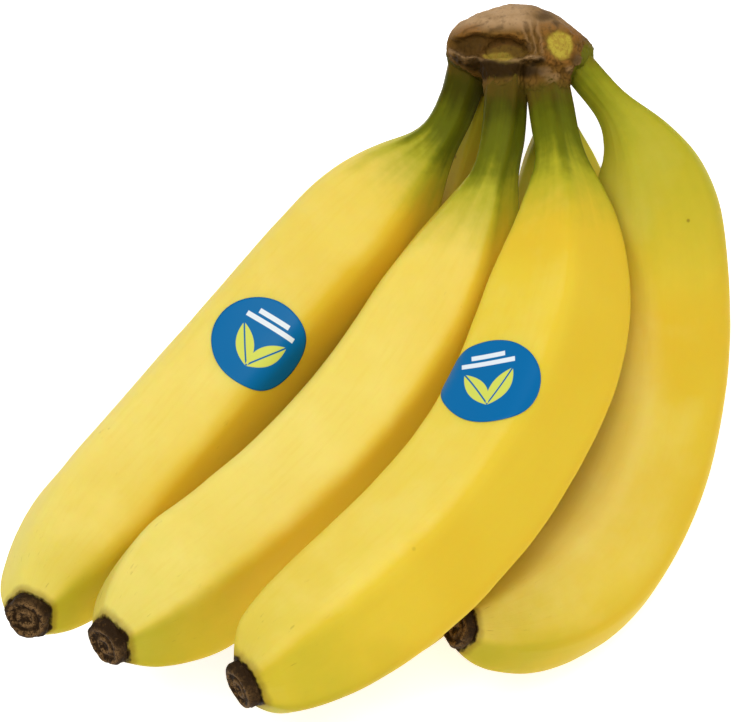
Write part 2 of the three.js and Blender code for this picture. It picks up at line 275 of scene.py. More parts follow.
class Nodes:
    """Adds nodes to a tree. An input is given as a plain value or as the output to link to it."""

    def __init__(self, tree):
        self.tree = tree

    def add(self, kind, inputs=None, **settings):
        node = self.tree.nodes.new(kind)
        for name, value in settings.items():
            setattr(node, name, value)
        for key, value in (inputs or {}).items():
            self.feed(node.inputs[key], value)
        return node

    def feed(self, socket, value):
        if isinstance(value, bpy.types.NodeSocket):
            self.tree.links.new(value, socket)
        else:
            socket.default_value = value

    def math(self, operation, *values):
        return self.add("ShaderNodeMath", dict(enumerate(values)), operation=operation).outputs[0]

    def plus(self, a, b):
        return self.math("ADD", a, b)

    def minus(self, a, b):
        return self.math("SUBTRACT", a, b)

    def times(self, a, b):
        return self.math("MULTIPLY", a, b)

    def vector(self, operation, *values):
        return self.add("ShaderNodeVectorMath", dict(enumerate(values)), operation=operation)

    def scaled(self, vector, scale):
        node = self.vector("SCALE", vector)
        self.feed(node.inputs["Scale"], scale)
        return node.outputs[0]

    def joined(self, x, y, z):
        return self.add("ShaderNodeCombineXYZ", {0: x, 1: y, 2: z}).outputs[0]

    def split(self, vector):
        return self.add("ShaderNodeSeparateXYZ", {0: vector}).outputs

    def noise(self, vector, scale, detail=2.0, roughness=0.5, seed=0.0):
        """Noise about 0.5 whose lumps measure about 1 / scale."""
        inputs = {
            "Vector": vector,
            "W": seed,
            "Scale": scale,
            "Detail": detail,
            "Roughness": roughness,
        }
        return self.add("ShaderNodeTexNoise", inputs, noise_dimensions="4D").outputs[0]

    def fade(self, value, start, end, low=0.0, high=1.0):
        """Goes smoothly from low to high as value goes from start to end."""
        inputs = {
            "Value": value,
            "From Min": start,
            "From Max": end,
            "To Min": low,
            "To Max": high,
        }
        return self.add("ShaderNodeMapRange", inputs, interpolation_type="SMOOTHSTEP").outputs[0]


class Paint(Nodes):
    """Nodes of one material."""

    def __init__(self, name):
        material = bpy.data.materials.new(name)
        material.use_nodes = True
        super().__init__(material.node_tree)
        self.material = material
        self.shader = material.node_tree.nodes["Principled BSDF"]

    def attribute(self, name):
        return self.add("ShaderNodeAttribute", attribute_name=name, attribute_type="GEOMETRY")

    def number(self, name):
        return self.attribute(name).outputs["Fac"]

    def place(self):
        return self.add("ShaderNodeTexCoord").outputs["Object"]

    def blend(self, share, a, b):
        """Colour a where share is 0 and b where it is 1."""
        node = self.add("ShaderNodeMix", data_type="RGBA", clamp_factor=True)
        self.feed(node.inputs["Factor"], share)
        self.feed(node.inputs[6], a)
        self.feed(node.inputs[7], b)
        return node.outputs[2]

    def ramp(self, value, stops):
        """Colour of value between stops, which are places from 0 to 1 with their colours."""
        node = self.add("ShaderNodeValToRGB", {"Fac": value})
        elements = node.color_ramp.elements
        node.color_ramp.interpolation = "EASE"
        for element, (place, shade) in zip(elements, (stops[0], stops[-1])):
            element.position = place
            element.color = shade
        for place, shade in stops[1:-1]:
            elements.new(place).color = shade
        return node.outputs["Color"]

    def bump(self, height, distance, strength):
        inputs = {"Height": height, "Distance": distance, "Strength": strength}
        return self.add("ShaderNodeBump", inputs).outputs[0]

    def finish(self, **inputs):
        """Sets the shader's inputs, whose names are written with _ for a space."""
        for name, value in inputs.items():
            self.feed(self.shader.inputs[name.replace("_", " ")], value)
        return self.material


# Growth: where a fruit runs and how thick it is


def smooth_step(t):
    t = np.clip(t, 0, 1)
    return t * t * (3 - 2 * t)


def unit(vectors):
    return vectors / np.linalg.norm(vectors, axis=-1, keepdims=True)


def aim(swing, lean):
    """Unit vector swing degrees right of straight down and lean degrees to the front."""
    swing = math.radians(swing)
    lean = math.radians(lean)
    level = math.cos(lean)
    return np.array([math.sin(swing) * level, -math.cos(swing) * level, math.sin(lean)])


def bend_side(fruit):
    """The side that the body bends to, square to where it starts off."""
    start = aim(*fruit.body)
    front = unit(np.array([0.0, 0.0, 1.0]) - start * start[2])
    left = np.cross(start, front)
    curl = math.radians(fruit.curl)
    return front * math.cos(curl) + left * math.sin(curl)


def heading(fruit, distance):
    """Unit headings of the middle line at distances from the root."""
    t = np.clip((distance - fruit.stalk_length) / fruit.body_length, 0, 1)
    turned = math.radians(fruit.turn) * (t + fruit.late * (t * t - t))
    body = np.outer(np.cos(turned), aim(*fruit.body))
    body += np.outer(np.sin(turned), bend_side(fruit))
    share = smooth_step((distance - fruit.kink + KINK_REACH) / (2 * KINK_REACH))[:, None]
    return unit((1 - share) * aim(*fruit.stalk) + share * body)


def full_length(fruit):
    return fruit.stalk_length + fruit.body_length


def middle_line(fruit, distance):
    """Places on the middle line, with the directions along it, to its inner side and aside."""
    start = -SPARE_LINE
    steps = round(full_length(fruit) + 2 * SPARE_LINE)
    step = (full_length(fruit) + 2 * SPARE_LINE) / steps
    walked = start + step * np.arange(steps + 1)
    moves = heading(fruit, walked[:-1] + 0.5 * step) * step
    first = np.array(fruit.root) + start * aim(*fruit.stalk)
    places = np.vstack([first, first + np.cumsum(moves, axis=0)])
    place = np.stack([np.interp(distance, walked, places[:, i]) for i in range(3)], axis=1)
    along = heading(fruit, distance)
    across = np.cross(aim(*fruit.body), bend_side(fruit))
    inner = unit(np.cross(across, along))
    return place, along, inner, np.cross(along, inner)


def eased(values, count):
    """Values with their kinks rounded off over about count of them."""
    padded = np.pad(values, count // 2, mode="reflect", reflect_type="odd")
    return np.convolve(padded, np.full(count, 1 / count), mode="valid")


def girth_at(fruit, distance):
    """Half the width of a fruit at distances from its root."""
    start = fruit.stalk_length - SHOULDER_LEAD * fruit.shoulder
    along = np.clip((distance - start) / fruit.shoulder, 0, 1)
    full = fruit.stalk_girth
    full = full + (fruit.girth - fruit.stalk_girth) * smooth_step(along**fruit.onset)
    left = np.clip((full_length(fruit) - distance) / fruit.taper, 0, 1)
    closing = (1 - (1 - left) ** fruit.blunt) ** (1 / fruit.blunt)
    end = fruit.end_girth / fruit.girth
    return full * (end + (1 - end) * closing)


def laid():
    """Turns points of the hanging frame, in metres, to how the bunch lies."""
    origin = Vector(LAID_ORIGIN) * MM
    tipped = Matrix.Rotation(math.radians(CROWN_UP), 4, "X")
    rolled = Matrix.Rotation(math.radians(ROLL_RIGHT), 4, "Y")
    return Matrix.Translation(origin) @ tipped @ rolled


def lay_places(places):
    """Hanging places in millimetres to laid places in metres."""
    turn = np.array(laid())
    return places * MM @ turn[:3, :3].T + turn[:3, 3]


def lay_directions(directions):
    return directions @ np.array(laid())[:3, :3].T


def hang_places(places):
    """Laid places in metres to hanging places in millimetres."""
    back = np.array(laid().inverted())
    return (places @ back[:3, :3].T + back[:3, 3]) / MM


def banana(name):
    return next(fruit for fruit in FRUIT if fruit.name == name)


# Meshes and objects


def shown(name, data):
    """A new object of the scene."""
    made = bpy.data.objects.new(name, data)
    bpy.context.scene.collection.objects.link(made)
    return made


def store(mesh, name, values):
    """Keeps a number for each point of a mesh, or a vector where values has rows."""
    values = np.asarray(values, dtype=np.float32)
    kind, field = ("FLOAT_VECTOR", "vector") if values.ndim > 1 else ("FLOAT", "value")
    mesh.attributes.new(name, kind, "POINT").data.foreach_set(field, values.ravel())


def vectors_of(items, field):
    values = np.empty(len(items) * 3, dtype=np.float32)
    items.foreach_get(field, values)
    return values.reshape(-1, 3).astype(float)


def mesh_places(mesh):
    return vectors_of(mesh.vertices, "co")


def mesh_normals(mesh):
    return vectors_of(mesh.vertex_normals, "vector")


def set_places(mesh, places):
    mesh.vertices.foreach_set("co", places.astype(np.float32).ravel())
    mesh.update()


def smooth_shaded(mesh):
    mesh.polygons.foreach_set("use_smooth", np.ones(len(mesh.polygons), dtype=bool))
    mesh.update()


def settle(piece):
    """Turns an object's modifiers into its plain mesh."""
    graph = bpy.context.evaluated_depsgraph_get()
    seen = piece.evaluated_get(graph)
    mesh = bpy.data.meshes.new_from_object(seen, preserve_all_data_layers=True, depsgraph=graph)
    piece.modifiers.clear()
    piece.data = mesh
    mesh.name = piece.name
    smooth_shaded(mesh)
    return piece


def hand_over(piece, slot, *nodes):
    """Hangs a finished piece on the root and hides the solids that it stands for."""
    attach(piece, "root")
    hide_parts(*nodes)


# Skin grown over a path with Geometry Nodes

SKIN_TREE = "skin over a path"
FACES = 5  # of the section
SEAM = 2e-6  # points nearer than this are one
TURN = 2 * math.pi
HALF_FACE = math.pi / FACES
SKIN_INPUTS = [
    ("Stations", "NodeSocketInt", 100),
    ("Sides", "NodeSocketInt", 64),
    ("Face Turn", "NodeSocketFloat", 0.0),
    ("Face Softness", "NodeSocketFloat", 7.0),
    ("Face Scale", "NodeSocketFloat", 0.95),
    *[(f"Face {i + 1}", "NodeSocketFloat", 1.0) for i in range(FACES)],
    ("Ridge Height", "NodeSocketFloat", 0.0),
    ("Lump Height", "NodeSocketFloat", 0.0),
    ("Lump Size", "NodeSocketFloat", 0.02),
    ("Grain Height", "NodeSocketFloat", 0.0),
    ("Grain Size", "NodeSocketFloat", 0.002),
    ("Groove Depth", "NodeSocketFloat", 0.0),
    ("Wrinkle Height", "NodeSocketFloat", 0.0),
    ("Lowest", "NodeSocketFloat", -1.0),
    ("Seed", "NodeSocketFloat", 0.0),
    ("Finish", "NodeSocketMaterial", None),
]


def skin_sockets(tree):
    tree.interface.new_socket("Path", in_out="INPUT", socket_type="NodeSocketGeometry")
    for name, kind, value in SKIN_INPUTS:
        socket = tree.interface.new_socket(name, in_out="INPUT", socket_type=kind)
        if value is not None:
            socket.default_value = value
    tree.interface.new_socket("Skin", in_out="OUTPUT", socket_type="NodeSocketGeometry")


def section_reach(nodes, given, angle):
    """The section's reach at an angle as a share of the girth: five faces with soft edges."""
    total = 0.0
    for face in range(FACES):
        turned = nodes.minus(nodes.minus(angle, given["Face Turn"]), face * TURN / FACES)
        facing = nodes.math("MAXIMUM", nodes.math("COSINE", turned), 0.0)
        facing = nodes.math("DIVIDE", facing, given[f"Face {face + 1}"])
        total = nodes.plus(total, nodes.math("POWER", facing, given["Face Softness"]))
    root = nodes.math("DIVIDE", -1.0, given["Face Softness"])
    return nodes.times(nodes.math("POWER", total, root), given["Face Scale"])


def ridge_share(nodes, given, angle):
    """1 on the edge between two faces and 0 away from it."""
    from_edge = nodes.minus(nodes.minus(angle, given["Face Turn"]), HALF_FACE)
    wave = nodes.math("COSINE", nodes.times(from_edge, float(FACES)))
    return nodes.math("POWER", nodes.fade(wave, -1.0, 1.0), 10.0)


def skin_tree():
    """A closed skin over a path whose points say how wide it is there."""
    tree = bpy.data.node_groups.new(SKIN_TREE, "GeometryNodeTree")
    skin_sockets(tree)
    nodes = Nodes(tree)
    given = nodes.add("NodeGroupInput").outputs
    end = nodes.add("NodeGroupOutput")

    rows = nodes.plus(given["Sides"], 1.0)
    sheet = nodes.add(
        "GeometryNodeMeshGrid",
        {"Size X": 1.0, "Size Y": 1.0, "Vertices X": given["Stations"], "Vertices Y": rows},
    )
    spot = nodes.split(nodes.add("GeometryNodeInputPosition").outputs[0])
    station = nodes.times(nodes.plus(spot[0], 0.5), nodes.minus(given["Stations"], 1.0))
    index = nodes.add("FunctionNodeFloatToInt", {0: station}, rounding_mode="ROUND").outputs[0]
    angle = nodes.times(nodes.plus(spot[1], 0.5), TURN)

    def on_path(value, kind):
        inputs = {"Geometry": given["Path"], "Value": value, "Index": index}
        return nodes.add("GeometryNodeSampleIndex", inputs, data_type=kind).outputs[0]

    def path_attribute(name, kind):
        named = nodes.add("GeometryNodeInputNamedAttribute", {"Name": name}, data_type=kind)
        return on_path(named.outputs[0], kind)

    place = on_path(nodes.add("GeometryNodeInputPosition").outputs[0], "FLOAT_VECTOR")
    inner = path_attribute("inner", "FLOAT_VECTOR")
    aside = path_attribute("aside", "FLOAT_VECTOR")
    crease = path_attribute("crease", "FLOAT_VECTOR")
    girth = path_attribute("girth", "FLOAT")
    distance = path_attribute("distance", "FLOAT")
    left = path_attribute("left", "FLOAT")
    stalk = path_attribute("stalk", "FLOAT")

    right = nodes.math("COSINE", angle)
    up = nodes.math("SINE", angle)
    out = nodes.vector("ADD", nodes.scaled(inner, right), nodes.scaled(aside, up)).outputs[0]
    ridge = ridge_share(nodes, given, angle)
    reach = nodes.times(girth, section_reach(nodes, given, angle))
    smooth = nodes.vector("ADD", place, nodes.scaled(out, reach)).outputs[0]
    grain = nodes.joined(nodes.times(right, 0.01), nodes.times(up, 0.01), distance)
    full = nodes.fade(girth, 0.0, 0.004)

    def rough(vector, size, height, detail):
        scale = nodes.math("DIVIDE", 1.0, size)
        wave = nodes.minus(nodes.noise(vector, scale, detail, seed=given["Seed"]), 0.5)
        return nodes.times(nodes.times(wave, 2.0), height)

    def fibres(across, lengthwise):
        stretched = nodes.vector("MULTIPLY", grain, (across, across, lengthwise)).outputs[0]
        return nodes.noise(stretched, 1.0, 3.0, seed=given["Seed"])

    lumps = rough(smooth, given["Lump Size"], given["Lump Height"], 1.0)
    fine = rough(smooth, given["Grain Size"], given["Grain Height"], 3.0)
    uneven_ridge = nodes.fade(nodes.noise(smooth, 60.0, 1.0, seed=3.5), 0.35, 0.6, 0.25, 1.0)
    ridge_line = nodes.times(nodes.times(ridge, given["Ridge Height"]), uneven_ridge)
    groove = nodes.times(nodes.minus(fibres(420.0, 30.0), 0.5), given["Groove Depth"])
    grooves = nodes.times(nodes.times(groove, 2.0), stalk)
    inside = nodes.math("MAXIMUM", nodes.vector("DOT_PRODUCT", out, crease).outputs["Value"], 0.0)
    wave = nodes.minus(fibres(160.0, 520.0), 0.5)
    wrinkles = nodes.times(nodes.times(wave, 2.0), nodes.times(inside, given["Wrinkle Height"]))
    lines = nodes.plus(nodes.plus(ridge_line, grooves), wrinkles)
    relief = nodes.plus(nodes.plus(lumps, fine), lines)
    skin = nodes.vector("ADD", smooth, nodes.scaled(out, nodes.times(relief, full))).outputs[0]
    skin_x, skin_y, skin_z = nodes.split(skin)
    rested = nodes.joined(skin_x, skin_y, nodes.math("MAXIMUM", skin_z, given["Lowest"]))

    made = sheet.outputs["Mesh"]
    kept = [
        ("distance", "FLOAT", distance),
        ("left", "FLOAT", left),
        ("ridge", "FLOAT", ridge),
        ("grain", "FLOAT_VECTOR", grain),
    ]
    for name, kind, value in kept:
        inputs = {"Geometry": made, "Name": name, "Value": value}
        made = nodes.add("GeometryNodeStoreNamedAttribute", inputs, data_type=kind).outputs[0]
    made = nodes.add("GeometryNodeSetPosition", {"Geometry": made, "Position": rested}).outputs[0]
    made = nodes.add("GeometryNodeMergeByDistance", {"Geometry": made, "Distance": SEAM}).outputs[0]
    made = nodes.add("GeometryNodeFlipFaces", {"Mesh": made}).outputs[0]
    made = nodes.add("GeometryNodeRealizeInstances", {"Geometry": made}).outputs[0]
    finished = nodes.add("GeometryNodeSetMaterial", {"Geometry": made, "Material": given["Finish"]})
    nodes.feed(end.inputs[0], finished.outputs[0])
    return tree


def the_skin_tree():
    return bpy.data.node_groups.get(SKIN_TREE) or skin_tree()


def face_scale(softness):
    """Middle of a face over the section's mean reach."""
    angles = np.linspace(0, TURN, 360, endpoint=False)
    turns = np.arange(FACES) * TURN / FACES
    facing = np.maximum(np.cos(angles[:, None] - turns), 0) ** softness
    return 1 / float(np.mean(facing.sum(axis=1) ** (-1 / softness)))


def face_settings(fruit, softness):
    settings = {f"Face {i + 1}": share for i, share in enumerate(fruit.faces)}
    settings["Face Turn"] = math.radians(fruit.face)
    settings["Face Softness"] = softness
    settings["Face Scale"] = face_scale(softness)
    return settings


def path_object(name, fruit, distance, girth, place=None):
    """A line of points at distances from a fruit's root that carries what the skin needs."""
    where, along, inner, aside = middle_line(fruit, distance)
    where = where if place is None else place
    bend = np.gradient(along, axis=0) / np.maximum(np.gradient(distance), 1e-6)[:, None]
    stalk = 1 - smooth_step((distance - fruit.kink) / (STALK_FADE * fruit.shoulder))
    crease = np.clip(bend * FULL_CREASE_RADIUS, -1, 1) * stalk[:, None]
    mesh = bpy.data.meshes.new(name)
    count = len(distance)
    mesh.from_pydata(lay_places(where).tolist(), [(i, i + 1) for i in range(count - 1)], [])
    store(mesh, "girth", girth * MM)
    store(mesh, "distance", distance * MM)
    store(mesh, "left", (full_length(fruit) - distance) * MM)
    store(mesh, "stalk", stalk)
    store(mesh, "inner", lay_directions(inner))
    store(mesh, "aside", lay_directions(aside))
    store(mesh, "crease", lay_directions(crease))
    return shown(name, mesh)


def grow(piece, settings):
    """Puts the skin over a path object and leaves it a plain mesh."""
    tree = the_skin_tree()
    modifier = piece.modifiers.new("skin", "NODES")
    modifier.node_group = tree
    sockets = {item.name: item.identifier for item in tree.interface.items_tree}
    for name, value in settings.items():
        modifier[sockets[name]] = value
    return settle(piece)


# Fruit

# Towards the key light, in the hanging frame. Faces turned to it are painted paler as painted light,
# and faces turned away deeper yellow and lime as painted shade.
KEY_LIGHT_SIDE = unit(np.array([-0.45, 0.4, 0.8]))


def peel_looks(paint, seed):
    """What the finishes of a peel are worked out from."""
    place = paint.place()
    grain = paint.attribute("grain").outputs["Vector"]

    def streaks(across, lengthwise, detail=3.0):
        stretched = paint.vector("MULTIPLY", grain, (across, across, lengthwise)).outputs[0]
        return paint.noise(stretched, 1.0, detail, seed=seed)

    return SimpleNamespace(
        seed=seed,
        place=place,
        distance=paint.number("distance"),
        left=paint.number("left"),
        ridge=paint.number("ridge"),
        key_light_facing=paint.number("key light facing"),
        patch=paint.noise(place, 24.0, 2.0, seed=seed),
        cloud=paint.noise(place, 70.0, 3.0, 0.55, seed=seed + 1.0),
        mottle=paint.noise(place, 230.0, 2.0, 0.6, seed=seed + 7.0),
        thread=streaks(1600.0, 90.0),
        streaks=streaks,
    )


def peel_yellow(paint, look, fruit, colours):
    """Yellow with warm patches and paler away from the stalk, with painted light and shade: paler on
    the faces turned to the key light, deeper yellow on those turned away, and brown mixed in as
    painted shade.
    """
    warm = paint.fade(look.patch, 0.38, 0.66, 0.0, 0.7)
    skin = paint.blend(warm, colours.yellow, colours.deep_yellow)
    pale = paint.plus(paint.fade(look.cloud, 0.4, 0.7, 0.0, 0.2), 0.55 * fruit.pale)
    # Painted light: paler on the faces turned to the key light.
    pale = paint.plus(pale, paint.fade(look.key_light_facing, 0.55, 0.95, -0.3, 0.25))
    pale = paint.plus(pale, paint.fade(look.distance, 0.05, 0.15, -0.25, 0.15))
    skin = paint.blend(pale, skin, colours.pale_yellow)
    # Painted shade: deeper yellow on the faces turned away from the key light.
    skin = paint.blend(paint.fade(look.key_light_facing, 0.1, 0.65, 0.95, 0.0), skin, colours.deep_yellow)
    skin = paint.blend(paint.fade(look.thread, 0.45, 0.75, 0.0, 0.12), skin, colours.deep_yellow)
    # Painted shade: brown mixed into the whole peel, most on the back fruit 5 and 6.
    return paint.blend(fruit.shade_brown, skin, colours.bruise_and_shade)


def peel_green(paint, look, fruit, colours, skin):
    """Green from the stalk down with a streaky edge, bark at its top and lime at the dry end, whose
    lime is strongest on the faces turned away from the key light as painted shade.
    """
    drift = paint.plus(paint.times(look.streaks(300.0, 22.0), 0.014), paint.times(look.patch, 0.016))
    drift = paint.plus(drift, paint.times(look.mottle, 0.009))
    from_ridge = paint.plus(paint.times(look.ridge, 0.004), 0.020)
    along = paint.minus(paint.plus(look.distance, drift), from_ridge)
    share = paint.plus(paint.math("DIVIDE", along, 1.5 * fruit.green * MM), fruit.ripe)
    clear = (*colours.lime[:3], 0.0)
    greens = [
        (0.06, colours.dark_green),
        (0.36, colours.green),
        (0.64, colours.lime),
        (0.85, clear),
        (1.0, clear),
    ]
    skin = paint.blend(paint.fade(share, 0.45, 1.0, 1.0, 0.0), skin, paint.ramp(share, greens))
    top = paint.plus(look.distance, paint.times(paint.minus(look.mottle, 0.5), 0.008))
    top = paint.minus(top, max(fruit.skin, 0.0) * MM)
    skin = paint.blend(paint.fade(top, 0.0, 0.007, 0.4, 0.0), skin, colours.bark)
    near_end = paint.plus(look.left, paint.times(paint.minus(look.cloud, 0.5), 0.03))
    near_end = paint.fade(near_end, -0.01, 0.045, 0.75, 0.0)
    # Painted shade: the lime by the dry end is strongest on the faces turned away from the key light.
    shade_side_share = paint.fade(look.key_light_facing, 0.3, 0.8, 1.0, 0.35)
    return paint.blend(paint.times(shade_side_share, near_end), skin, colours.lime)


def peel_end(paint, look, colours, skin):
    """The scorched, ragged edge of the peel at the dry tip."""
    shred = paint.noise(look.place, 500.0, 3.0, seed=look.seed + 3.0)
    ragged = paint.minus(look.left, paint.times(paint.minus(shred, 0.5), 0.0012))
    skin = paint.blend(paint.fade(ragged, 0.0, 0.0018, 0.5, 0.0), skin, colours.bruise_and_shade)
    return paint.blend(paint.fade(ragged, -0.0003, 0.0002, 1.0, 0.0), skin, colours.tip)


def peel_scuffs(paint, look):
    """Scratches on the edges between faces, in worn places and by the dry end."""
    scratches = paint.fade(look.streaks(1500.0, 260.0, 5.0), 0.64, 0.74)
    worn = paint.fade(paint.noise(look.place, 45.0, 2.0, seed=look.seed + 5.0), 0.55, 0.7)
    worn = paint.times(worn, paint.fade(look.ridge, 0.0, 0.6, 0.25, 0.7))
    worn = paint.math("MAXIMUM", worn, paint.fade(look.left, 0.004, 0.03, 0.7, 0.0))
    return paint.times(scratches, worn)


def peel_specks(paint, look):
    inputs = {"Vector": look.place, "Scale": 95.0, "Randomness": 1.0}
    cells = paint.add("ShaderNodeTexVoronoi", inputs)
    sparse = paint.fade(paint.noise(look.place, 30.0, 1.0, seed=look.seed + 9.0), 0.6, 0.66)
    return paint.times(paint.fade(cells.outputs["Distance"], 0.03, 0.075, 1.0, 0.0), sparse)


def peel_paint(fruit, colours):
    """Peel from the green of the stalk to the yellow of the body, with scuffs and specks."""
    paint = Paint(f"peel {fruit.name}")
    look = peel_looks(paint, 10.0 + 3.7 * float(fruit.name))
    skin = peel_yellow(paint, look, fruit, colours)
    skin = peel_green(paint, look, fruit, colours, skin)
    skin = peel_end(paint, look, colours, skin)
    scuff = peel_scuffs(paint, look)
    skin = paint.blend(paint.times(scuff, 0.5), skin, colours.bruise_and_shade)
    skin = paint.blend(paint.times(peel_specks(paint, look), 0.7), skin, colours.bruise_and_shade)
    pores = paint.noise(look.place, 1400.0, 3.0, 0.6, seed=look.seed)
    height = paint.plus(paint.times(look.thread, 0.6), paint.times(pores, 0.4))
    dull = paint.plus(look.cloud, paint.times(scuff, 0.5))
    return paint.finish(
        Base_Color=skin,
        Roughness=paint.fade(dull, 0.3, 0.8, 0.42, 0.56),
        Normal=paint.bump(height, 0.00025, 0.28),
        Subsurface_Weight=0.55,
        Subsurface_Radius=(1.0, 0.5, 0.12),
        Subsurface_Scale=0.005,
        Specular_IOR_Level=0.3,
        IOR=1.12,
    )


# The peel's rounded end: millimetres beyond its last full ring, and shares of that ring's girth.
PEEL_END = [(0.15, 0.97), (0.28, 0.88), (0.34, 0.6), (0.36, 0.0)]
CAP_GAP = 0.02  # from the point that closes a skin to its first full ring
GIRTH_EASING = 11  # rings that a fruit's girth is rounded off over
STATION_CROWDING = 0.05  # how much closer rings stand towards the dry end


def fruit_stations(fruit, count):
    """Distances of a fruit's full rings, closer together towards the dry end."""
    t = np.linspace(0, 1, count)
    crowded = t + STATION_CROWDING * np.sin(math.pi * t)
    return -STALK_SINK + (full_length(fruit) + STALK_SINK) * crowded


def grow_fruit(fruit, sizes, colours):
    beyond, shares = np.array(PEEL_END).T
    closing = len(PEEL_END)
    rings = fruit_stations(fruit, sizes.stations - closing - 1)
    distance = np.concatenate([[rings[0] - CAP_GAP], rings, rings[-1] + beyond])
    girth = girth_at(fruit, distance)
    girth[1:-closing] = eased(eased(girth[1:-closing], GIRTH_EASING), GIRTH_EASING)
    girth[0] = 0.0
    girth[-closing:] = girth[-closing - 1] * shares
    piece = path_object(f"peel_{fruit.name}", fruit, distance, girth)
    piece = grow(
        piece,
        {
            "Stations": len(distance),
            "Sides": sizes.sides,
            **face_settings(fruit, fruit.crisp * sizes.crispness),
            "Ridge Height": sizes.ridge_height,
            "Lump Height": sizes.lump_height,
            "Lump Size": sizes.lump_size,
            "Grain Height": 0.03 * MM,
            "Grain Size": 3 * MM,
            "Groove Depth": sizes.groove_depth,
            "Wrinkle Height": sizes.wrinkle_height,
            "Lowest": 0.0,
            "Seed": 1.3 * float(fruit.name),
            "Finish": peel_paint(fruit, colours),
        },
    )
    # How far each point faces the key light, for the peel's painted light and shade.
    store(piece.data, "key light facing", mesh_normals(piece.data) @ lay_directions(KEY_LIGHT_SIDE))
    return piece


# Tips


def tip_paint(colours):
    """Dead flower end: crumbling rings, near black in the cracks and brown on what stands out, whose
    light flecks are partly a painted glint of its glossy specks.
    """
    paint = Paint("dry tip")
    place = paint.place()
    out = paint.number("from middle")
    fleck = paint.noise(place, 800.0, 4.0, 0.65, seed=2.0)
    crumb = paint.noise(place, 2600.0, 3.0, 0.6, seed=4.0)
    rings = paint.math("SINE", paint.times(paint.plus(out, paint.times(fleck, 0.5)), 13.0))
    raised = paint.plus(paint.times(rings, 0.09), fleck)
    # Light flecks on what stands out, partly a painted glint.
    skin = paint.blend(paint.fade(raised, 0.4, 0.64), colours.tip, colours.tip_fleck_and_glint)
    skin = paint.blend(paint.fade(crumb, 0.52, 0.38, 0.0, 0.75), skin, colours.soot_and_shade)
    skin = paint.blend(paint.fade(out, 0.78, 0.95, 0.0, 0.6), skin, colours.tip)
    height = paint.plus(raised, paint.times(crumb, 0.5))
    return paint.finish(
        Base_Color=skin,
        Roughness=paint.fade(fleck, 0.3, 0.7, 0.5, 0.85),
        Normal=paint.bump(height, 0.0007, 0.7),
        Specular_IOR_Level=0.06,
    )


TIP_STATIONS = 90
TIP_SIDES = 96
TIP_SOFTNESS = 5.0  # of the edges between its faces: higher is sharper
TIP_EASING = 5  # stations that its profile is rounded off over
TIP_SPREAD = 1e-3  # what the path's distances differ by, so that none are equal


def dry_tip(fruit, finish):
    """A thick ragged ring round a sunken middle, on the end of a fruit."""
    shares, beyond = np.array(TIP_PROFILE).T
    knots = np.linspace(0, 1, len(shares))
    t = np.linspace(0, 1, TIP_STATIONS)
    share = eased(np.interp(t, knots, shares), TIP_EASING)
    out = eased(np.interp(t, knots, beyond), TIP_EASING)
    reach = fruit.end_girth * TIP_SHARE
    end = np.full(len(t), full_length(fruit))
    place, along, _, _ = middle_line(fruit, end)
    piece = path_object(
        f"dry_tip_{fruit.name}",
        fruit,
        end + TIP_SPREAD * t,
        share * reach,
        place + along * out[:, None],
    )
    piece = grow(
        piece,
        {
            "Stations": len(t),
            "Sides": TIP_SIDES,
            **face_settings(fruit, TIP_SOFTNESS),
            "Lump Height": 0.7 * MM,
            "Lump Size": 3.5 * MM,
            "Grain Height": 0.6 * MM,
            "Grain Size": 1.5 * MM,
            "Lowest": 0.0,
            "Seed": 20.0 + 2.1 * float(fruit.name),
            "Finish": finish,
        },
    )
    from_end = hang_places(mesh_places(piece.data)) - place[0]
    from_axis = from_end - np.outer(from_end @ along[0], along[0])
    store(piece.data, "from middle", np.linalg.norm(from_axis, axis=1) / reach)
    return piece


# Crown


def crown_rings(sides, rings):
    """Rings of points over the crown's sections, smoothly between them."""
    sections = np.array(CROWN_SECTIONS)
    knots = np.arange(len(sections))
    t = np.linspace(0, len(sections) - 1, rings)
    before = np.clip(np.floor(t).astype(int), 0, len(sections) - 2)
    u = (t - before)[:, None]

    def knot(offset):
        return sections[np.clip(before + offset, 0, len(knots) - 1)]

    p0, p1, p2, p3 = knot(-1), knot(0), knot(1), knot(2)
    curve = 2 * p1 + (p2 - p0) * u + (2 * p0 - 5 * p1 + 4 * p2 - p3) * u**2
    curve += (3 * p1 - p0 - 3 * p2 + p3) * u**3
    x, top, bottom, depth = (0.5 * curve).T
    turn = np.linspace(0, TURN, sides, endpoint=False)
    power = 2 / CROWN_SQUARENESS

    def rounded(values):
        return np.sign(values) * np.abs(values) ** power

    share = 0.5 + 0.5 * rounded(np.cos(turn))
    y = bottom[:, None] + (top - bottom)[:, None] * share
    z = CROWN_MIDDLE_Z + depth[:, None] * rounded(np.sin(turn))
    return np.stack([np.broadcast_to(x[:, None], y.shape), y, z], axis=2)


def closed_rings(rings):
    """Points and faces of a closed skin over rings of points."""
    count, sides = rings.shape[:2]
    points = [*rings.reshape(-1, 3), rings[0].mean(axis=0), rings[-1].mean(axis=0)]
    first = count * sides
    last = first + 1
    faces = []
    for i in range(sides):
        after = (i + 1) % sides
        for ring in range(0, (count - 1) * sides, sides):
            faces.append((ring + i, ring + after, ring + sides + after, ring + sides + i))
        faces.append((first, after, i))
        faces.append((last, last - 1 - sides + i, last - 1 - sides + after))
    return np.array(points), faces


def crown_body():
    points, faces = closed_rings(crown_rings(CROWN_SIDES, CROWN_RINGS))
    mesh = bpy.data.meshes.new("crown body")
    mesh.from_pydata(lay_places(points).tolist(), [], faces)
    mesh.update()
    return shown("crown_skin", mesh)


SLEEVE_REACH = 2.5  # how far a sleeve runs on past the root and past the skin's edge
SLEEVE_STATIONS = 42
SLEEVE_SIDES = 72
SLEEVE_SOFTNESS = 6.0  # of the edges between its faces: higher is sharper


